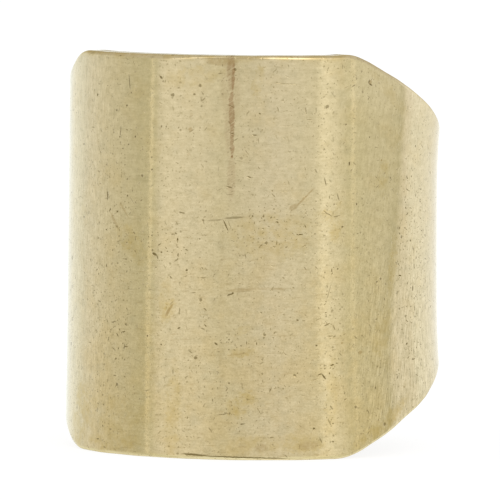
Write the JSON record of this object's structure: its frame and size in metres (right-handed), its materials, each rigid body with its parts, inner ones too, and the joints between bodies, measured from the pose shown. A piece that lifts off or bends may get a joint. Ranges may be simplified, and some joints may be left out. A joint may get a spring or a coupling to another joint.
{
  "type": "guitar slide",
  "caption": "Ring-type guitar slide: rolled brass band, full height across its face and tapered towards a soldered back joint.",
  "frame": {"origin": "on the axis of the finger bore, at mid height", "axes": "+Z along the finger bore, the middle of the full-height playing face towards -Y, the soldered joint towards +Y"},
  "size_m": [0.022, 0.022, 0.0236],
  "materials": {
    "worn_brass": "bare brass, worn satin with fine scratches and pits",
    "silver_solder": "filed hard solder, satin"
  },
  "bodies": {
    "root": {"slide_band": "worn_brass", "solder_seam": "silver_solder"}
  },
  "joints": []
}
